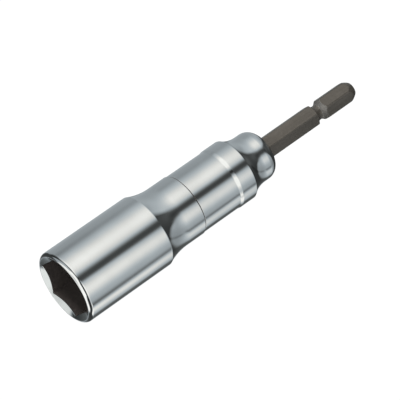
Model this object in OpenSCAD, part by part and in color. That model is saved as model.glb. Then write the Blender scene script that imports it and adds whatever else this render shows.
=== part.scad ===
// Power-tool hex socket: a chromed socket head and rear housing, a dark hex
// drive shank, and a sprung magnet plunger in the chamber between them.
// Millimetres. The tool lies along X: the mouth's centre is the origin, the
// shank points to +X and two flats of each hexagon face up and down.

/* [Hex recess] */
// Width across the flats of the hex recess, a 17 mm socket with its play
hex_af = 17.2; // [16.8:0.05:17.4]
// Depth of the hex recess from the mouth to the web
recess_depth = 26; // [22:0.5:28]
// Length of the round relief at the bottom of the hexagon
relief_len = 2; // [1:0.5:4]
// Radius of the lead-in at the mouth
lead_r = 10.6; // [10.2:0.05:10.65]
// Angle of the lead-in from the axis
lead_angle = 56; // [40:1:65]

/* [Socket head] */
// Diameter of the head
head_d = 23.2; // [23:0.1:25]
// Length of the head up to the edge of its shoulder
head_len = 30.6; // [28:0.1:36]
// How far back the rounded nose starts
nose_depth = 1.25; // [0.9:0.05:2]
// How much the rounded nose takes off the radius
nose_drop = 0.85; // [0.3:0.05:0.9]
// Radius of the hollow shoulder behind the head
shoulder_r = 19.3; // [12:0.1:30]
// Diameter of the barrel behind the shoulder
barrel_d = 19.7; // [19:0.1:20.4]
// Length of the barrel up to the seam
barrel_len = 6.2; // [4:0.1:12]
// Wall of the web between the recess and the spring chamber
web_t = 4; // [2.5:0.5:6]

/* [Rear housing] */
// Diameter of the housing's front band
band_d = 19.3; // [18.9:0.1:19.6]
// Length of the front band
band_len = 13.35; // [10:0.05:18]
// Length of the ramp from the band up to the collar
ramp_len = 1.3; // [0.5:0.1:3]
// Diameter of the collar
collar_d = 19.7; // [19:0.1:20.4]
// Length of the collar
collar_len = 5.1; // [3:0.1:9]
// Radius of the hollow neck behind the collar
neck_r = 9.9; // [6:0.1:16]
// Diameter of the knob at the rear end
knob_d = 15.6; // [14:0.1:16.5]
// Length of the knob's straight part
knob_land = 1.65; // [0.5:0.05:4]
// Radius of the knob's rounded end
knob_round = 3.5; // [2:0.1:4]
// Diameter of the flat at the knob's rear face
rear_flat_d = 11.6; // [10:0.1:12.4]
// Length of the spigot that is pressed into the head
spigot_len = 6; // [3:0.5:7]
// Diameter of the spigot
spigot_d = 17.6; // [17.2:0.1:18]
// Bevel on the two edges at the seam
seam_bevel = 0.15; // [0.05:0.05:0.3]
// Thickness of the rear wall, from the shank's seat to the rear face
rear_wall = 12.4; // [10:0.1:14]
// Diameter of the spring chamber
chamber_d = 15.5; // [14.6:0.1:15.8]

/* [Drive shank] */
// Width across the flats of the shank
shank_af = 6.35; // [6:0.05:7]
// Length of shank that stands out of the rear face
shank_out = 36.1; // [25:0.1:70]
// Distance from the shank's tip to the middle of the detent groove
groove_from_tip = 14.05; // [9:0.05:20]
// Smallest diameter of the detent groove
groove_d = 4.65; // [4:0.05:5.4]
// Radius of the detent groove
groove_r = 2; // [1.5:0.1:3]
// Angle of the groove's rear flank from the axis
flank_angle = 38; // [30:1:50]
// Diameter of the shank's flat tip
tip_d = 4.4; // [3:0.1:5]
// Length of the rounded taper at the tip
tip_len = 3.3; // [2:0.1:4]
// Radius of that taper's curve
tip_round = 8.7; // [6:0.1:16]
// Diameter of the round head that holds the shank in the housing
shank_head_d = 15.2; // [11:0.1:15.2]
// Thickness of that round head
shank_head_t = 2.5; // [1.5:0.1:4]

/* [Retaining ring and spring seat] */
// Thickness of the retaining ring
ring_t = 1.1; // [0.8:0.1:1.5]
// Depth of the ring's groove in the housing wall
ring_groove = 0.85; // [0.5:0.05:1]
// Radial width of the ring
ring_w = 1.9; // [1.5:0.1:2.5]
// Radius of the two ears of the ring
ear_r = 1.5; // [1.2:0.1:1.8]
// Diameter of the plier hole in each ear
ear_hole_d = 1.3; // [0.8:0.1:1.6]
// Angle between each ear and the gap's middle
ear_angle = 16; // [14:1:24]
// Thickness of the spring seat
seat_t = 0.9; // [0.6:0.1:1.5]
// Diameter of the hole in the spring seat
seat_hole_d = 6; // [4:0.5:9]

/* [Magnet plunger] */
// Diameter of the plunger's stem
stem_d = 11; // [9:0.1:12.5]
// Thickness of the flange that stops the plunger at the web
flange_t = 3; // [2:0.1:4]
// Diameter of the boss that centres the spring
boss_d = 9; // [7:0.1:10]
// Length of that boss
boss_len = 5; // [3:0.1:8]
// Travel of the plunger, from its rest until its face is at the recess's bottom
travel = 14; // [8:0.5:16]
// Diameter of the magnet
magnet_d = 8; // [6:0.1:8.6]
// Thickness of the magnet
magnet_t = 3; // [2:0.1:4]

/* [Spring] */
// Wire diameter of the spring
wire_d = 1.1; // [0.8:0.05:1.2]
// Outer diameter of the spring
spring_d = 14; // [13:0.1:14.3]
// Number of turns of the spring
spring_turns = 8; // [5:0.5:9]

/* [Clearances] */
// Play between pressed or seated pieces, on the radius
seat_gap = 0.03; // [0.02:0.01:0.06]
// Running play of the plunger's stem, on the radius
run_gap = 0.08; // [0.05:0.01:0.1]
// Play between loose pieces and the chamber's wall, on the radius
loose_gap = 0.25; // [0.15:0.05:0.4]

/* [Hidden] */

round_fn = 96;
small_fn = 32;
arc_steps = 12;
edge_break = 0.3;
cut_over = 1;

head_r = head_d / 2;
barrel_r = barrel_d / 2;
band_r = band_d / 2;
collar_r = collar_d / 2;
knob_r = knob_d / 2;
chamber_r = chamber_d / 2;
spigot_r = spigot_d / 2;
stem_r = stem_d / 2;
hex_corner_r = hex_af / sqrt(3);
shank_corner_r = shank_af / sqrt(3);

// The nose is an arc that meets the head's side smoothly and breaks at the face
nose_r = (pow(nose_drop, 2) + pow(nose_depth, 2)) / (2 * nose_drop);
nose_sweep = asin(nose_depth / nose_r);
shoulder_sweep = acos(1 - (head_r - barrel_r) / shoulder_r);
neck_sweep = acos(1 - (collar_r - knob_r) / neck_r);
knob_sweep = acos(1 - (knob_r - rear_flat_d / 2) / knob_round);

// Stations along the axis, from the mouth
x_barrel = head_len + shoulder_r * sin(shoulder_sweep);
x_seam = x_barrel + barrel_len;
x_spigot = x_seam - spigot_len;
x_ramp = x_seam + band_len;
x_collar = x_ramp + ramp_len;
x_neck = x_collar + collar_len;
x_knob = x_neck + neck_r * sin(neck_sweep);
x_round = x_knob + knob_land;
x_rear = x_round + knob_round * sin(knob_sweep);
x_tip = x_rear + shank_out;
x_shelf = x_rear - rear_wall;
x_shank_head = x_shelf - shank_head_t;
x_ring = x_shank_head - seat_gap - ring_t;
x_seat = x_ring - seat_t;
x_web = recess_depth + web_t;
face_depth = recess_depth - travel;
x_flange = x_web + flange_t;
x_groove = x_tip - groove_from_tip;

// Points [radius, station] of an arc about [r0, x0], from angle a to angle b,
// where 0 points outwards and 90 points to the shank
function arc(r0, x0, r, a, b) = [for (i = [0:arc_steps])
    let (t = a + (b - a) * i / arc_steps) [r0 + r * cos(t), x0 + r * sin(t)]];

// Turns what is drawn up the Z axis to lie along X
module along_x() {
    rotate([0, 90, 0]) children();
}

// Turned solid from points [radius, station]
module turned(points) {
    rotate_extrude($fn = round_fn) polygon(points);
}

// Hexagonal bar with two flats facing up and down once it lies along X
module hex_bar(af, from, to) {
    translate([0, 0, from])
        linear_extrude(to - from)
            rotate(30) circle(r = af / sqrt(3), $fn = 6);
}

module socket_head() {
    color("silver") along_x() difference() {
        turned(concat(
            [[stem_r + run_gap, 0]],
            arc(head_r - nose_r, nose_depth, nose_r, -nose_sweep, 0),
            arc(barrel_r + shoulder_r, x_barrel, shoulder_r, 180 + shoulder_sweep, 180),
            [[barrel_r, x_seam - seam_bevel], [barrel_r - seam_bevel, x_seam],
             [spigot_r + seat_gap, x_seam], [spigot_r + seat_gap, x_spigot],
             [chamber_r, x_spigot], [chamber_r, x_web], [stem_r + run_gap, x_web]]));
        hex_bar(hex_af, -cut_over, recess_depth);
        translate([0, 0, recess_depth - relief_len])
            cylinder(r = hex_corner_r + seat_gap, h = relief_len, $fn = round_fn);
        lead_in();
    }
}

// Cone that leads the nut into the hexagon
module lead_in() {
    lead_len = lead_r / tan(lead_angle);
    over = cut_over * tan(lead_angle);
    turned([[0, -cut_over], [lead_r + over, -cut_over], [0, lead_len]]);
}

module rear_housing() {
    color("gainsboro") along_x() difference() {
        turned(concat(
            [[chamber_r, x_spigot], [spigot_r - edge_break, x_spigot],
             [spigot_r, x_spigot + edge_break], [spigot_r, x_seam],
             [band_r - seam_bevel, x_seam], [band_r, x_seam + seam_bevel],
             [band_r, x_ramp], [collar_r, x_collar]],
            arc(knob_r + neck_r, x_knob, neck_r, 180 + neck_sweep, 180),
            arc(knob_r - knob_round, x_round, knob_round, 0, knob_sweep),
            [[0, x_rear], [0, x_shelf], [chamber_r, x_shelf]]));
        hex_bar(shank_af + 2 * seat_gap, x_shelf - cut_over, x_rear + cut_over);
        translate([0, 0, x_ring - seat_gap])
            cylinder(r = chamber_r + ring_groove, h = ring_t + 2 * seat_gap, $fn = round_fn);
    }
}

module drive_shank() {
    color("dimgray") along_x() {
        difference() {
            intersection() {
                hex_bar(shank_af, x_shank_head, x_tip);
                tip_form();
            }
            detent_groove();
        }
        turned([[0, x_shank_head], [shank_head_d / 2 - edge_break, x_shank_head],
                [shank_head_d / 2, x_shank_head + edge_break],
                [shank_head_d / 2, x_shelf], [0, x_shelf]]);
    }
}

// Round form that takes the bar's corners down to the flat of the tip, along
// an arc from the corners to the flat
module tip_form() {
    reach = shank_corner_r + cut_over;
    drop = shank_corner_r - tip_d / 2;
    lean = atan(drop / tip_len);
    half_sweep = asin(norm([drop, tip_len]) / (2 * tip_round));
    turned(concat(
        [[0, x_shank_head], [reach, x_shank_head], [reach, x_tip - tip_len]],
        arc(tip_d / 2 - tip_round * cos(lean + half_sweep),
            x_tip - tip_round * sin(lean + half_sweep),
            tip_round, lean - half_sweep, lean + half_sweep),
        [[0, x_tip]]));
}

// Round groove for the chuck's detent ball, with a slower flank to the tip
module detent_groove() {
    floor_r = groove_d / 2;
    centre_r = floor_r + groove_r;
    reach = shank_corner_r + cut_over;
    rise = reach - floor_r - groove_r * (1 - cos(flank_angle));
    run = groove_r * sin(flank_angle);
    turned(concat(
        [[reach, x_groove - groove_r]],
        arc(centre_r, x_groove, groove_r, 270, 180 - flank_angle),
        [[reach, x_groove + run + rise / tan(flank_angle)]]));
}

// Internal circlip: an open ring with two eared ends for the pliers
module shank_retaining_ring() {
    outer_r = chamber_r + ring_groove - seat_gap;
    ear_at = outer_r - ring_groove - ear_r - seat_gap;
    color("slategray") along_x() translate([0, 0, x_ring]) difference() {
        union() {
            difference() {
                cylinder(r = outer_r, h = ring_t, $fn = round_fn);
                translate([0, 0, -cut_over])
                    cylinder(r = outer_r - ring_w, h = ring_t + 2 * cut_over, $fn = round_fn);
                ring_gap(outer_r);
            }
            for (side = [-1, 1])
                rotate(side * ear_angle) translate([ear_at, 0, 0])
                    cylinder(r = ear_r, h = ring_t, $fn = small_fn);
        }
        for (side = [-1, 1])
            rotate(side * ear_angle) translate([ear_at, 0, -cut_over])
                cylinder(d = ear_hole_d, h = ring_t + 2 * cut_over, $fn = small_fn);
    }
}

// Wedge that opens the circlip between its ears
module ring_gap(outer_r) {
    far = outer_r + cut_over;
    translate([0, 0, -cut_over]) linear_extrude(ring_t + 2 * cut_over)
        polygon([[0, 0], far * [cos(ear_angle), sin(ear_angle)], [far, 0],
                 far * [cos(ear_angle), -sin(ear_angle)]]);
}

module spring_seat() {
    color("gray") along_x() translate([0, 0, x_seat]) difference() {
        cylinder(r = chamber_r - loose_gap, h = seat_t, $fn = round_fn);
        translate([0, 0, -cut_over])
            cylinder(d = seat_hole_d, h = seat_t + 2 * cut_over, $fn = small_fn);
    }
}

// The spring is one round wire wound as a helix between the plunger's flange
// and the spring seat, with eight rings of six corners to each turn
spring_rings = 8;
wire_sides = 6;
wire_r = wire_d / 2;
coil_r = (spring_d - wire_d) / 2;
spring_from = x_flange + wire_r;
spring_to = x_seat - wire_r;
ring_count = round(spring_turns * spring_rings);
spring_rise = (spring_to - spring_from) / ring_count;
spring_lean = atan(spring_rise * spring_rings / (2 * PI * coil_r));

// Corner j of ring i
function wire_point(i, j) =
    let (turn = 360 * i / spring_rings, side = 360 * j / wire_sides,
         out = coil_r + wire_r * cos(side), up = wire_r * sin(side))
    [out * cos(turn) + up * sin(spring_lean) * sin(turn),
     out * sin(turn) - up * sin(spring_lean) * cos(turn),
     spring_from + spring_rise * i + up * cos(spring_lean)];

spring_points = [for (i = [0:ring_count]) for (j = [0:wire_sides - 1]) wire_point(i, j)];
spring_walls = [for (i = [0:ring_count - 1]) for (j = [0:wire_sides - 1])
    let (a = i * wire_sides + j, b = i * wire_sides + (j + 1) % wire_sides)
    each [[a, b, b + wire_sides], [a, b + wire_sides, a + wire_sides]]];
spring_ends = [for (j = [1:wire_sides - 2])
    each [[0, j + 1, j],
          [ring_count * wire_sides, ring_count * wire_sides + j,
           ring_count * wire_sides + j + 1]]];

// Least gap between one turn and the next, on the corners of the wire
spring_gap = min([for (i = [0:spring_rings]) for (j = [0:wire_sides - 1])
    for (k = [0:wire_sides - 1]) for (n = [-1:1])
    norm(wire_point(i + spring_rings + n, k) - wire_point(i, j))]);
echo(spring_gap = spring_gap);

module plunger_spring() {
    color("lightsteelblue") along_x()
        polyhedron(points = spring_points, faces = concat(spring_walls, spring_ends));
}

module magnet_plunger() {
    flange_r = chamber_r - loose_gap;
    pocket_r = magnet_d / 2 + seat_gap;
    boss_r = boss_d / 2;
    color("darkgray") along_x()
        turned([[0, face_depth + magnet_t], [pocket_r, face_depth + magnet_t],
                [pocket_r, face_depth], [stem_r - edge_break, face_depth],
                [stem_r, face_depth + edge_break], [stem_r, x_web],
                [flange_r - edge_break, x_web], [flange_r, x_web + edge_break],
                [flange_r, x_flange], [boss_r, x_flange],
                [boss_r, x_flange + boss_len - edge_break],
                [boss_r - edge_break, x_flange + boss_len], [0, x_flange + boss_len]]);
}

module magnet() {
    magnet_r = magnet_d / 2;
    bevel = edge_break / 2;
    color("lightgray") along_x()
        turned([[0, face_depth], [magnet_r - bevel, face_depth],
                [magnet_r, face_depth + bevel], [magnet_r, face_depth + magnet_t],
                [0, face_depth + magnet_t]]);
}

socket_head();
rear_housing();
drive_shank();
shank_retaining_ring();
spring_seat();
plunger_spring();
magnet_plunger();
magnet();
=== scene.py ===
import math

import bmesh
import bpy
from mathutils import Matrix, Vector


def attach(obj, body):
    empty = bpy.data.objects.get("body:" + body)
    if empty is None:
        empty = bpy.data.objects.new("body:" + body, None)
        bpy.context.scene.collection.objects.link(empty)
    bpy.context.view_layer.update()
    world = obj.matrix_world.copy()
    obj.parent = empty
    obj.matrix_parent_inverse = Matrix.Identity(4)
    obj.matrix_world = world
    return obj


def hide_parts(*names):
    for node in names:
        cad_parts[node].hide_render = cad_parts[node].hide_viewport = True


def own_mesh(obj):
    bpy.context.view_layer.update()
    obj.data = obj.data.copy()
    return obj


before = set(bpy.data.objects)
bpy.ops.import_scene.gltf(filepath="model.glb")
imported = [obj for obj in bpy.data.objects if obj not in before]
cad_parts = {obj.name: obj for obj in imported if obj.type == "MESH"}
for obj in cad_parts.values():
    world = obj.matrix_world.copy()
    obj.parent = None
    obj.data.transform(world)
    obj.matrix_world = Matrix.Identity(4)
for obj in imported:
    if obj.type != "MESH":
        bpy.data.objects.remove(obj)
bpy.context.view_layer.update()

# The camera: it stands in front of the mouth and above the tool, and looks
# back along it through a long lens, from where the photograph was taken.
camera = bpy.data.objects.new("camera", bpy.data.cameras.new("camera"))
bpy.context.scene.collection.objects.link(camera)
camera.location = (-0.24600, -0.27861, 0.59046)
camera.rotation_euler = (0.59875, -0.06261, -0.72667)
camera.data.lens = 223.3
camera.data.sensor_width = 36
camera.data.clip_start = 0.05
bpy.context.scene.camera = camera


# The socket head: a deep hexagonal socket turned from chrome-vanadium bar,
# broached, hardened and plated. Its outline is turned with a round bore, and
# the hexagon is pressed into the bore's wall. Sizes are in mm.
HEAD_R, HEAD_END, HEAD_EASE = 11.6, 30.6, 0.12
NOSE_ROUND, NOSE_DEPTH, NOSE_TURN = 1.344, 1.25, 68.46
MOUTH_R, MOUTH_EASE, LEAD_IN_ANGLE = 10.6, 0.05, 63
HEX_ACROSS, HEX_END, BORE_R, RELIEF_R = 17.2, 24, 9.9, 9.96
WEB_START, WEB_END, GUIDE_R, CHAMBER_R = 26, 30, 5.58, 7.75
BARREL_R, BARREL_START = 9.85, 38.632
SHOULDER_ROUND, SHOULDER_TURN = 19.3, 24.59
SPIGOT_START, SPIGOT_BORE_R = 38.83, 8.83
SEAM, SEAM_BEVEL, SEAM_INNER_R = 44.83, 0.15, 8.9
LEAD_IN_START, LEAD_IN_END, LEAD_IN_SKIN, BORE_SKIN_START = 0.04, 1.6, 0.06, 0.3
LONG_LINE, EDGE_BAND, NEAR = 0.5, 0.12, 0.001
CHROME_GREY = (0.78, 0.79, 0.79)


def arc(station, radius, size, start, end, steps=16):
    """Points (station, radius) of an arc, where 0 degrees points outwards and 90 to the shank."""
    turns = [math.radians(start + (end - start) * i / steps) for i in range(steps + 1)]
    return [(station + size * math.sin(t), radius + size * math.cos(t)) for t in turns]


def turned(outline, steps=240):
    """A solid turned from points (station, radius) in mm; a third number is the easing of a crisp edge.

    A long line gets a narrow band at each end, so that its shading stays true up to the edge.
    """
    bm = bmesh.new()
    points = [bm.verts.new((p[0] / 1000, 0, p[1] / 1000)) for p in outline]
    for a, b in zip(points, points[1:]):
        bm.edges.new((a, b))
    if outline[0][1] > 0:
        bm.edges.new((points[-1], points[0]))
    for point, p in zip(points, outline):
        if len(p) > 2:
            bmesh.ops.bevel(bm, geom=[point], offset=p[2] / 1000, segments=4, profile=0.5,
                            affect="VERTICES", material=-1)
    for line in [e for e in bm.edges if e.calc_length() > LONG_LINE / 1000]:
        end = line.verts[1]
        rest = bmesh.utils.edge_split(line, line.verts[0], EDGE_BAND / 1000 / line.calc_length())[0]
        whole = [e for e in end.link_edges if e in (line, rest)][0]
        bmesh.utils.edge_split(whole, end, EDGE_BAND / 1000 / whole.calc_length())
    bmesh.ops.spin(bm, geom=bm.verts[:] + bm.edges[:], angle=math.tau, steps=steps, use_merge=True,
                   axis=(1, 0, 0), cent=(0, 0, 0), dvec=(0, 0, 0))
    bmesh.ops.remove_doubles(bm, verts=bm.verts, dist=1e-7)
    bmesh.ops.recalc_face_normals(bm, faces=bm.faces)
    return bm


def where(spot):
    """The station along the axis and the radius of a point, in mm."""
    return 1000 * spot.x, 1000 * math.hypot(spot.y, spot.z)


def push(vertex, radius):
    """Moves a vertex straight out from the axis, or in, to a radius in mm."""
    reach = math.hypot(vertex.co.y, vertex.co.z)
    vertex.co.y, vertex.co.z = vertex.co.y / reach * radius / 1000, vertex.co.z / reach * radius / 1000


def flat_radius(vertex, across):
    """The radius of a hexagon's wall in mm, at the angle of a vertex."""
    sector = math.radians(60)
    angle = math.atan2(vertex.co.y, vertex.co.z) % sector
    return across / 2 / math.cos(min(angle, sector - angle))


def lead_in_radius(station):
    """The radius in mm of the cone that leads a nut into the hexagon."""
    return MOUTH_R - station * math.tan(math.radians(LEAD_IN_ANGLE))


def place(name, bm, materials, body, node):
    """Makes the finished mesh a smooth piece that rides on a body and stands for its node."""
    for face in bm.faces:
        face.smooth = True
    mesh = bpy.data.meshes.new(name)
    bm.to_mesh(mesh)
    bm.free()
    for material in materials:
        mesh.materials.append(material)
    piece = bpy.data.objects.new(name, mesh)
    bpy.context.scene.collection.objects.link(piece)
    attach(piece, body)
    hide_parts(node)
    return piece


class Wire:
    """A shader socket that takes plain arithmetic, each step a Math node."""

    def __init__(self, tree, socket=None):
        self.tree, self.socket = tree, socket

    def node(self, kind, values=None, output=0, **settings):
        """Adds a node, sets it, fills or links its sockets, and gives a wire from one output."""
        made = self.tree.nodes.new(kind)
        for name, value in settings.items():
            setattr(made, name, value)
        for name, value in (values or {}).items():
            if isinstance(value, Wire):
                self.tree.links.new(value.socket, made.inputs[name])
            else:
                made.inputs[name].default_value = value
        return Wire(self.tree, made.outputs[output])

    def maths(self, operation, *terms):
        return self.node("ShaderNodeMath", dict(enumerate(terms)), operation=operation)

    def __add__(self, other):
        return self.maths("ADD", self, other)

    def __sub__(self, other):
        return self.maths("SUBTRACT", self, other)

    def __rsub__(self, other):
        return self.maths("SUBTRACT", other, self)

    def __mul__(self, other):
        return self.maths("MULTIPLY", self, other)

    __radd__, __rmul__ = __add__, __mul__

    def at_least(self, floor):
        return self.maths("MAXIMUM", self, floor)

    def at_most(self, ceiling):
        return self.maths("MINIMUM", self, ceiling)

    def smooth(self, low, high):
        """0 at the low value and 1 at the high one, with a soft step between."""
        return self.node("ShaderNodeMapRange", {"Value": self, "From Min": low, "From Max": high},
                         interpolation_type="SMOOTHSTEP")

    def mix(self, first, second):
        """Mixes two colours by this wire. A Mix node's colours are its sockets 6 and 7, and output 2."""
        first, second = ((*c, 1) if isinstance(c, tuple) else c for c in (first, second))
        return self.node("ShaderNodeMix", {0: self, 6: first, 7: second}, output=2, data_type="RGBA")


def new_finish(name):
    """A new material, its shader, and a wire that reads the piece's own coordinates."""
    material = bpy.data.materials.new(name)
    material.use_nodes = True
    tree = material.node_tree
    return material, tree.nodes["Principled BSDF"], Wire(tree).node("ShaderNodeTexCoord", output="Object")


def noise(spot, scale, detail=2, stretch=None):
    """Cloudy noise with about so many lumps to the metre, stretched where a scale is given."""
    if stretch:
        spot = spot.node("ShaderNodeMapping", {"Vector": spot, "Scale": stretch})
    return spot.node("ShaderNodeTexNoise", {"Vector": spot, "Scale": scale, "Detail": detail})


def dress(shader, metallic, tint, rough, relief, strength, depth):
    """Gives a shader its tint, its roughness and a fine relief of a depth in metres."""
    bump = relief.node("ShaderNodeBump", {"Strength": strength, "Distance": depth, "Height": relief})
    for socket, wire in (("Base Color", tint), ("Roughness", rough), ("Normal", bump)):
        wire.tree.links.new(wire.socket, shader.inputs[socket])
    shader.inputs["Metallic"].default_value = metallic


def plate(name, colour, rough):
    """Chrome or nickel plate: a clear mirror, softened by fine polishing rings and a faint mottle."""
    material, shader, spot = new_finish(name)
    mottle = noise(spot, 900, 3)
    cloud = noise(spot, 120)
    rings = noise(spot, 60, stretch=(60, 1, 1))
    greyer = tuple(c * 0.94 for c in colour)
    dress(shader, metallic=1.0, tint=cloud.smooth(0.3, 0.7).mix(greyer, colour),
          rough=rough + cloud * 0.05 + mottle * 0.03,
          relief=rings * 0.5 + mottle * 0.5, strength=0.15, depth=0.00002)
    return material


def steel(name, colour, rough, metallic=1.0, mottling=1.0):
    """Steel with a fine skin of oxide or phosphate, mottled and a little rough."""
    material, shader, spot = new_finish(name)
    mottle = noise(spot, 700, 4)
    cloud = noise(spot, 90)
    lighter = tuple(c * (1 + 0.25 * mottling) for c in colour)
    darker = tuple(c * (1 - 0.15 * mottling) for c in colour)
    dress(shader, metallic, tint=(cloud * 0.5 + mottle * 0.5).smooth(0.3, 0.7).mix(darker, lighter),
          rough=rough + mottle * 0.12, relief=mottle, strength=0.25 * mottling, depth=0.00003)
    return material


chrome = plate("chrome_head", CHROME_GREY, 0.045)
lead_in_chrome = plate("lead_in_chrome", (0.62, 0.65, 0.66), 0.10)
# The dark bore skin also serves as painted shade on the bevels and faces at the seam.
bore_skin_and_seam_shade = steel("bore_skin_and_seam_shade", (0.064, 0.054, 0.050), 0.45, metallic=0.0)

nose = arc(NOSE_DEPTH, HEAD_R - NOSE_ROUND, NOSE_ROUND, -NOSE_TURN, 0)
shoulder = arc(BARREL_START, BARREL_R + SHOULDER_ROUND, SHOULDER_ROUND, 180 + SHOULDER_TURN, 180, steps=24)
# Close rings near the mouth draw the curves in which the cone cuts the flats.
bore_wall = [(s, BORE_R) for s in [HEX_END, 12, 5, 2.2] + [1.40 - 0.05 * i for i in range(21)]]
head = turned(
    [(0, MOUTH_R, MOUTH_EASE)] + nose + [(HEAD_END, HEAD_R, HEAD_EASE)] + shoulder[1:]
    + [(SEAM - SEAM_BEVEL, BARREL_R), (SEAM, BARREL_R - SEAM_BEVEL), (SEAM, SPIGOT_BORE_R),
       (SPIGOT_START, SPIGOT_BORE_R), (SPIGOT_START, CHAMBER_R), (WEB_END, CHAMBER_R),
       (WEB_END, GUIDE_R), (WEB_START, GUIDE_R), (WEB_START, RELIEF_R), (HEX_END, RELIEF_R)]
    + bore_wall + [(s, lead_in_radius(s)) for s in (0.35, 0.175)])
for v in head.verts:
    station, radius = where(v.co)
    if abs(radius - BORE_R) < NEAR and station < HEX_END + NEAR:
        push(v, max(flat_radius(v, HEX_ACROSS), lead_in_radius(station)))
for face in head.faces:
    station, radius = where(face.calc_center_median())
    cone = lead_in_radius(station)
    in_bore = BORE_SKIN_START < station < WEB_END + 0.1 and cone + 0.02 < radius < RELIEF_R + 0.01
    # The seam's faces, bevel included, take the dark bore skin: painted shade along the seam line.
    in_seam_shade = station > SEAM - SEAM_BEVEL and radius > SEAM_INNER_R
    if LEAD_IN_START < station < LEAD_IN_END and radius < cone + LEAD_IN_SKIN:
        face.material_index = 2
    elif in_bore or in_seam_shade:
        face.material_index = 1
place("socket_head_shell", head, [chrome, bore_skin_and_seam_shade, lead_in_chrome], "socket", "socket_head")


# The rear housing: the second chromed shell, turned, plated and pressed into
# the head at the seam, with a shallow band, a collar, a hollow neck, a
# rounded knob and the hexagonal hole for the shank.
SPIGOT_R, SPIGOT_CHAMFER = 8.80, 0.30
BAND_R, RAMP_START, RAMP_END, RAMP_EASE = 9.65, 58.42, 59.45, 0.15
COLLAR_R, COLLAR_END, COLLAR_EASE = 9.85, 64.58, 0.12
NECK_ROUND, NECK_END, NECK_TURN = 9.9, 70.61, 37.51
KNOB_R, KNOB_ROUND, KNOB_START, KNOB_TURN = 7.8, 3.5, 72.26, 64.62
REAR_END, REAR_FACE_R = 75.42, 5.72
SHANK_HOLE_R, SHANK_HOLE_ACROSS, SHANK_SEAT, DISH = 3.9, 6.41, 63.02, 0.03

housing_chrome = plate("chrome_housing", CHROME_GREY, 0.035)
neck = arc(NECK_END, KNOB_R + NECK_ROUND, NECK_ROUND, 180 + NECK_TURN, 180, steps=24)
knob = arc(KNOB_START, KNOB_R - KNOB_ROUND, KNOB_ROUND, 0, KNOB_TURN)
housing = turned(
    [(SPIGOT_START, CHAMBER_R), (SPIGOT_START, SPIGOT_R - SPIGOT_CHAMFER),
     (SPIGOT_START + SPIGOT_CHAMFER, SPIGOT_R), (SEAM, SPIGOT_R), (SEAM, BAND_R - SEAM_BEVEL),
     (SEAM + SEAM_BEVEL, BAND_R), (RAMP_START, BAND_R, RAMP_EASE), (RAMP_END, COLLAR_R, RAMP_EASE),
     (COLLAR_END, COLLAR_R, COLLAR_EASE)]
    + neck[1:] + knob
    + [(REAR_END, REAR_FACE_R), (REAR_END, SHANK_HOLE_R), (SHANK_SEAT + DISH, SHANK_HOLE_R),
       (SHANK_SEAT, CHAMBER_R)])
for v in housing.verts:
    if abs(where(v.co)[1] - SHANK_HOLE_R) < NEAR:
        push(v, flat_radius(v, SHANK_HOLE_ACROSS))
for face in housing.faces:
    station, radius = where(face.calc_center_median())
    # The seam's face and bevel take the dark bore skin too: painted shade along the seam line.
    if SEAM - NEAR < station < SEAM + SEAM_BEVEL and radius > SEAM_INNER_R:
        face.material_index = 1
place("rear_housing_shell", housing, [housing_chrome, bore_skin_and_seam_shade], "socket", "rear_housing")


# The drive shank: a hexagonal bar of 6.35 mm with a round head inside the
# housing, a turned groove for the chuck's detent ball and a rounded end,
# finished in dark phosphate. The groove's flank has a lighter, smoother steel.
SHANK_ACROSS, CORNER_R, TIP_CORNER_R, CORNER_EASE = 6.35, 3.62, 3.53, 0.06
SHANK_HEAD_START, SHANK_HEAD_R, SHANK_HEAD_CHAMFER, SHANK_HEAD_EASE = 60.52, 7.6, 0.3, 0.2
GROOVE, GROOVE_ROUND, GROOVE_CENTRE_R, GROOVE_WALL_SLOPE = 97.475, 2, 4.325, 40
FLANK = math.radians(38)
TIP, TIP_FACE_R, TIP_LENGTH, TIP_RISE, TIP_ROUND = 111.525, 2.2, 3.3, 1.466, 8.7
BLANK_R, FINE_STEP = 3.4, 0.08
LIGHT_FLANK_START, LIGHT_FLANK_END, LIGHT_FLANK_SKIN = GROOVE + 0.5, GROOVE + 3, 0.06
PHOSPHATE_DARK, PHOSPHATE_LIGHT = (0.080, 0.071, 0.060), (0.115, 0.103, 0.090)

shank_skin, shader, spot = new_finish("shank_phosphate")
grain = noise(spot, 700, 3, (0.05, 1, 1))
mottle = noise(spot, 900, 3)
cloud = noise(spot, 70)
blotches = (grain * 0.5 + cloud * 0.3 + mottle * 0.2).smooth(0.35, 0.65)
dress(shader, metallic=0.6, tint=blotches.mix(PHOSPHATE_DARK, PHOSPHATE_LIGHT),
      rough=0.26 + grain * 0.08 + mottle * 0.04,
      relief=mottle * 0.5 + grain * 0.5, strength=0.50, depth=0.00002)
# The groove's flank gets a lighter, smoother steel than the rest of the shank.
light_flank_steel = steel("light_flank_steel", (0.185, 0.176, 0.165), 0.38, metallic=0.7, mottling=0.3)


def ease(first, second, blend=0.10):
    """The smaller of two radii, rounded over where they meet."""
    share = max(blend - abs(first - second), 0) / blend
    return min(first, second) - share * share * blend / 4


def groove_radius(station):
    """The radius of the detent groove in mm: a steep front wall, a round bottom and a sloping flank."""
    off = station - GROOVE
    if off <= -GROOVE_ROUND:
        return GROOVE_CENTRE_R - (off + GROOVE_ROUND) * GROOVE_WALL_SLOPE
    round_end = GROOVE_ROUND * math.sin(FLANK)
    if off <= round_end:
        return GROOVE_CENTRE_R - math.sqrt(GROOVE_ROUND ** 2 - off ** 2)
    return GROOVE_CENTRE_R - GROOVE_ROUND * math.cos(FLANK) + (off - round_end) * math.tan(FLANK)


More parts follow.
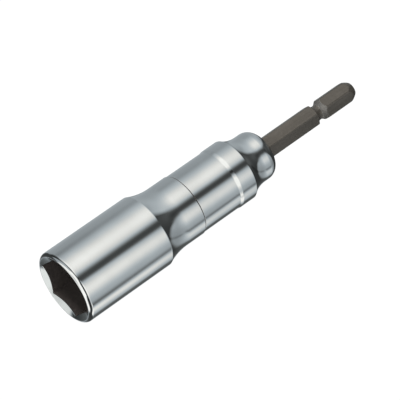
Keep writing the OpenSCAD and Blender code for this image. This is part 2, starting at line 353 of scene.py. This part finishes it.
def tip_radius(station):
    """The radius of the rounded end in mm: an arc from the tip's face back over the corners."""
    angle = math.atan(TIP_RISE / TIP_LENGTH) + math.asin(math.hypot(TIP_RISE, TIP_LENGTH) / 2 / TIP_ROUND)
    off = max(station - TIP + TIP_ROUND * math.sin(angle), 0)
    return TIP_FACE_R - TIP_ROUND * math.cos(angle) + math.sqrt(TIP_ROUND ** 2 - off ** 2)


def turned_radius(station):
    """The radius in mm that the groove and the rounded end leave at a station."""
    return min(groove_radius(station), tip_radius(station))


def fine(start, count):
    """Stations close together, for the groove or for the rounded end."""
    return [start + FINE_STEP * i for i in range(count)]


# The bar starts round, and each of its rings is then pushed to the hexagon.
stations = [63.2, 70, 75.3, 75.5, 80, 88, 94.4] + fine(94.6, 75)
stations += [101, 104, 107] + fine(107.8, 46) + [111.50]
shank = turned(
    [(SHANK_HEAD_START + DISH, 0),
     (SHANK_HEAD_START, SHANK_HEAD_R - SHANK_HEAD_CHAMFER, SHANK_HEAD_EASE),
     (SHANK_HEAD_START + SHANK_HEAD_CHAMFER, SHANK_HEAD_R),
     (SHANK_SEAT, SHANK_HEAD_R), (SHANK_SEAT, BLANK_R + 0.1)]
    + [(s, BLANK_R) for s in stations] + [(TIP, TIP_FACE_R - 0.05), (TIP, 0)], steps=180)
for v in shank.verts:
    station, radius = where(v.co)
    on_tip_face = station > TIP - NEAR and radius < TIP_FACE_R - 0.1
    if station > SHANK_SEAT + NEAR and not on_tip_face:
        corner = CORNER_R if station < GROOVE + GROOVE_ROUND else TIP_CORNER_R
        hexagon = ease(flat_radius(v, SHANK_ACROSS), corner, CORNER_EASE)
        push(v, ease(hexagon, turned_radius(station)))
for face in shank.faces:
    station, radius = where(face.calc_center_median())
    if LIGHT_FLANK_START < station < LIGHT_FLANK_END and turned_radius(station) < radius + LIGHT_FLANK_SKIN:
        face.material_index = 1
place("drive_shank_bar", shank, [shank_skin, light_flank_steel], "socket", "drive_shank")


# The retaining ring and the spring seat: a blued circlip that holds the
# shank's round head in the housing, and the washer that the spring stands on.
ring_steel = steel("ring_steel", (0.20, 0.20, 0.22), 0.30)
for node in ("shank_retaining_ring", "spring_seat"):
    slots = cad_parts[node].data.materials
    slots.clear()
    slots.append(ring_steel)


# The spring: one round wire of 1.1 mm wound in eight turns between the
# plunger's flange and the washer.
WIRE_R, WIRE_SIDES, COIL_R = 0.55, 12, 6.45
TURNS, STEPS_PER_TURN = 8, 32
FLANGE_FACE, FLANGE_FACE_PRESSED, SEAT_FACE = 33, 47, 58.49
COIL_START, COIL_END = FLANGE_FACE + WIRE_R, SEAT_FACE - WIRE_R

wire_steel = steel("spring_wire", (0.42, 0.42, 0.43), 0.22)
coil = bmesh.new()
section = bmesh.ops.create_circle(coil, cap_ends=False, radius=WIRE_R / 1000, segments=WIRE_SIDES)["verts"]
for v in section:
    v.co = Vector((COIL_START / 1000 + v.co.x, 0, COIL_R / 1000 + v.co.y))
steps = TURNS * STEPS_PER_TURN
bmesh.ops.spin(coil, geom=section + coil.edges[:], angle=TURNS * math.tau, steps=steps,
               axis=(1, 0, 0), cent=(0, 0, 0), dvec=((COIL_END - COIL_START) / 1000 / steps, 0, 0))
bmesh.ops.holes_fill(coil, edges=[e for e in coil.edges if e.is_boundary], sides=WIRE_SIDES)
bmesh.ops.recalc_face_normals(coil, faces=coil.faces)
spring = place("plunger_spring_wire", coil, [wire_steel], "socket", "plunger_spring")
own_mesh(spring)


# The magnet plunger: a turned steel carrier that slides in the head's web,
# stopped there by its flange, with a pocket for the magnet in its face and a
# pilot that keeps the spring in the middle.
PLUNGER_FACE, POCKET_END, POCKET_R = 12, 15, 4.03
STEM_R, FLANGE_R, PILOT_R, PILOT_END, PLUNGER_CHAMFER = 5.5, 7.5, 4.5, 38, 0.3

plunger_steel = steel("plunger_steel", (0.30, 0.30, 0.31), 0.28)
stem = turned(
    [(POCKET_END, 0), (POCKET_END, POCKET_R), (PLUNGER_FACE, POCKET_R),
     (PLUNGER_FACE, STEM_R - PLUNGER_CHAMFER), (PLUNGER_FACE + PLUNGER_CHAMFER, STEM_R),
     (WEB_END, STEM_R), (WEB_END, FLANGE_R - PLUNGER_CHAMFER), (WEB_END + PLUNGER_CHAMFER, FLANGE_R),
     (FLANGE_FACE, FLANGE_R), (FLANGE_FACE, PILOT_R), (PILOT_END - PLUNGER_CHAMFER, PILOT_R),
     (PILOT_END, PILOT_R - PLUNGER_CHAMFER), (PILOT_END, 0)], steps=160)
place("magnet_plunger_stem", stem, [plunger_steel], "plunger", "magnet_plunger")


# The magnet: a sintered disc, nickel-plated and pressed into the plunger's
# pocket, flush with its face. It holds a nut or a screw's head in the hexagon.
MAGNET_R, MAGNET_CHAMFER = 4.0, 0.15

nickel = plate("magnet_nickel", (0.62, 0.61, 0.58), 0.16)
disc = turned(
    [(PLUNGER_FACE, 0), (PLUNGER_FACE, MAGNET_R - MAGNET_CHAMFER), (PLUNGER_FACE + MAGNET_CHAMFER, MAGNET_R),
     (POCKET_END, MAGNET_R), (POCKET_END, 0)], steps=160)
place("magnet_disc", disc, [nickel], "plunger", "magnet")


# The table: a matt sheet of paper under the head's lowest line. The camera
# sees it white, with a trace of the tool's shadow, and the chrome doesn't
# mirror it.
TABLE_HALF_WIDTH, PAPER_GLOW, GLOW_SHARE = 3, 1.04, 0.97

table_bm = bmesh.new()
bmesh.ops.create_grid(table_bm, x_segments=1, y_segments=1, size=TABLE_HALF_WIDTH)
table_mesh = bpy.data.meshes.new("table")
table_bm.to_mesh(table_mesh)
table_bm.free()
table_mesh.transform(Matrix.Translation((0, 0, -HEAD_R / 1000)))
table = bpy.data.objects.new("table", table_mesh)
bpy.context.scene.collection.objects.link(table)
table.visible_glossy = False
paper = bpy.data.materials.new("paper")
paper.use_nodes = True
sheet = Wire(paper.node_tree)
matt = sheet.node("ShaderNodeBsdfDiffuse", {"Color": (0.8, 0.8, 0.8, 1)})
white = sheet.node("ShaderNodeEmission", {"Color": (1, 1, 1, 1), "Strength": PAPER_GLOW})
to_camera = sheet.node("ShaderNodeLightPath", output="Is Camera Ray")
paper_shader = sheet.node("ShaderNodeMixShader", {0: to_camera * GLOW_SHARE, 1: matt, 2: white})
paper.node_tree.links.new(paper_shader.socket, paper.node_tree.nodes["Material Output"].inputs["Surface"])
table_mesh.materials.append(paper)


# The studio: a dark room with two big soft walls, one on each side of the
# tool, and a white card in front of its mouth. The chrome mirrors the room,
# and the camera sees plain white in its place.
ROOM_ROLL, ROOM_TURN = math.radians(25.26), 2.4

world = bpy.data.worlds.new("studio")
bpy.context.scene.world = world
world.use_nodes = True
tree = world.node_tree
studio = Wire(tree)
way = studio.node("ShaderNodeTexCoord", output="Generated")


def bearing(turn, lean):
    """The direction at a turn about the tool's axis and a lean towards the shank, in degrees."""
    turn, lean = math.radians(turn - ROOM_TURN), math.radians(lean)
    up, side = math.cos(lean) * math.cos(turn), math.cos(lean) * math.sin(turn)
    return (math.sin(lean), -math.sin(ROOM_ROLL) * up - math.cos(ROOM_ROLL) * side,
            math.cos(ROOM_ROLL) * up - math.sin(ROOM_ROLL) * side)


def vector_maths(operation, *terms, output="Vector"):
    """A step of arithmetic on ways through the room."""
    return studio.node("ShaderNodeVectorMath", dict(enumerate(terms)), output, operation=operation)


# The two ends of the room are alike, so the walls are drawn for |X|.
either_end = vector_maths("ADD", vector_maths("ABSOLUTE", vector_maths("MULTIPLY", way, (1, 0, 0))),
                          vector_maths("MULTIPLY", way, (0, 1, 1)))


def towards(turn, lean, seen_as=either_end):
    """How near a way through the room is to a bearing: 1 along it, 0 across it."""
    return vector_maths("DOT_PRODUCT", seen_as, bearing(turn, lean), output="Value")


def soft_disc(turn, lean, reach, edge, seen_as=either_end):
    """A round soft light: 1 inside its reach in degrees, 0 outside, with a soft edge."""
    inner, outer = math.cos(math.radians(reach - edge)), math.cos(math.radians(min(reach + edge, 180)))
    return towards(turn, lean, seen_as).smooth(outer, inner)


def glow(turn, lean, focus, seen_as=either_end):
    """A light that fades away from its bearing, and is the smaller the higher its focus is."""
    return studio.maths("EXPONENT", (towards(turn, lean, seen_as) - 1) * focus)


def past(slant, first, last):
    """0 up to the first lean in degrees and 1 from the last one on, with a soft step between."""
    return slant.smooth(math.sin(math.radians(first)), math.sin(math.radians(last)))


# Each light is a strength times a soft disc or a glow at a turn and a lean.
# First come the walls and the brighter lights on them. Most of their values,
# and those of the two gaps below, were fitted by least squares to the bands
# that the photograph shows on the chrome. The space between the walls is dark,
# and the tool mirrors it as the dark line that runs along the chrome.
light = -0.503 + 0.315 * soft_disc(-86.0, -8.6, 81.7, 7.2) + 0.260 * soft_disc(75.6, -6.8, 65.4, 5.7)
light = light + 1.613 * glow(-25.8, -5.2, 4.66) + 1.846 * glow(33.4, -0.2, 7.55)
light = light + 1.650 * glow(106.3, 2.3, 15.59) + 0.079 * glow(139.0, 12.9, 19.02)
light = light + 0.120 * glow(-160.0, 23.0, 12.0) + 0.060 * glow(158.0, 24.0, 12.0)
light = light - 1.501 * glow(7.0, -2.6, 4.74) + 0.592 * glow(-35.4, 56.8, 0.16)

# The dark gaps at the walls' outer edges, which the tool mirrors as thin lines
# near its outline. The slant is the sine of the lean.
slant = towards(0, 90)
gaps = 1.940 * glow(94.6, 9.9, 64.47) + 0.470 * glow(-96.3, 7.1, 45.49)
light = (light - gaps.at_most(0.6) * past(slant, 15, 20)).at_least(0.035) * 1.06

# The walls' far ends, which the shoulder, the neck and the back of the knob
# mirror, have more contrast.
far_end = 1.60 * light - 0.18 - 0.12 * glow(-50, 44, 30) - 0.16 * glow(25, 56, 60)
far_end = far_end + 0.13 * glow(44, 47, 60) - 0.26 * glow(22, 48, 150) - 0.11 * glow(150, 44, 30)
far_end = far_end - 0.13 * glow(-88, 66, 40) + 0.06 * glow(103, 58, 40)
far_end = far_end.at_least(0.042 + 0.050 * glow(-5, 52, 16) + 0.065 * glow(0, 90, 40))
share = past(slant, 38, 56)
light = light * (1 - share) + far_end * share

# A thin dark stripe at the far end of one wall, and small lights and shades
# where the head, the barrel and the collar mirror them.
STRIPE_FOCUS = 278
across = towards(180, 0)
stripe = studio.maths("EXPONENT", across * across * -STRIPE_FOCUS) * towards(90, 0).smooth(0.1, 0.4)
light = light - 0.13 * stripe * past(slant, 30, 38)
light = light - 0.15 * glow(85.6, 27, 400) - 0.045 * glow(93, 21, 500) - 0.085 * glow(89, 25.5, 600)
light = light + 0.12 * glow(100, 26.5, 400) - 0.034 * glow(11.5, 21, 450) + 0.075 * glow(17, 19, 300)
light = light - 0.035 * glow(19, 29, 300) - 0.05 * glow(90.5, 24, 700)

# The front of the room, which the nose and the ramp mirror: a dark band across
# the walls, some shades, the card before the mouth and a few small lights.
front_slant = towards(0, 90, way)
beside, before = past(front_slant, -9, -4), past(front_slant, -28, -34)
light = light * (beside + before) + (0.04 + 0.25 * glow(-58, -22, 25, way)) * (1 - beside - before)
for shade in (soft_disc(147, -8, 22, 4, way), soft_disc(-150, -20, 31, 5, way)):
    light = light * (1 - shade) + 0.05 * shade
light = light * (1 - 0.60 * soft_disc(-98, -8, 17, 6, way)) * (1 - 0.85 * soft_disc(98, -10, 16, 4, way))
light = light.at_most(1.15)
card = 1.25 * soft_disc(100, -80, 46, 4, way) - 0.30 * soft_disc(180, -84, 14, 6, way)
card = card - 0.45 * soft_disc(-10, -79, 9, 4, way) - 0.15 * soft_disc(-131, -60, 16, 8, way)
light = light.at_least(card).at_least(1.2 * soft_disc(-10, -46, 20, 5, way))
for gap in (soft_disc(40, -23, 14, 5, way), soft_disc(85, -26, 22, 5, way)):
    light = light * (1 - 0.95 * gap)
light = light + 0.35 * glow(180, -24, 25, way) + 0.70 * glow(180, 2, 50, way) + 0.7 * glow(180, 20, 50, way)
light = light - 0.22 * glow(-4, 5, 120, way) - 0.35 * glow(99, 12.5, 200, way)
light = light.at_least(0.03)

# Dim light is cool, and bright light is a little warm.
tint = light.smooth(0.10, 0.30).mix((0.93, 0.99, 0.99), (0.89, 0.98, 1.03))
tint = light.smooth(0.50, 0.95).mix(tint, (1.0, 1.0, 0.965))
background = tree.nodes["Background"]
tree.links.new(tint.socket, background.inputs["Color"])
tree.links.new(light.socket, background.inputs["Strength"])
room = Wire(tree, background.outputs["Background"])
plain = studio.node("ShaderNodeBackground", {"Color": (1, 1, 1, 1), "Strength": 1.0})
to_camera = studio.node("ShaderNodeLightPath", output="Is Camera Ray")
seen = studio.node("ShaderNodeMixShader", {0: to_camera, 1: room, 2: plain})
tree.links.new(seen.socket, tree.nodes["World Output"].inputs["Surface"])


# The lamp: a soft light high over the tool, for its matt surfaces and its
# shadow. The chrome doesn't mirror it.
lamp_data = bpy.data.lights.new("key", "AREA")
lamp_data.energy, lamp_data.size = 6.0, 0.35
lamp = bpy.data.objects.new("key", lamp_data)
bpy.context.scene.collection.objects.link(lamp)
lamp.location = (0.05, 0.18, 0.60)
lamp.rotation_euler = (-0.30, 0, 0)
lamp.visible_glossy = False

bpy.context.scene.view_settings.view_transform = "Standard"
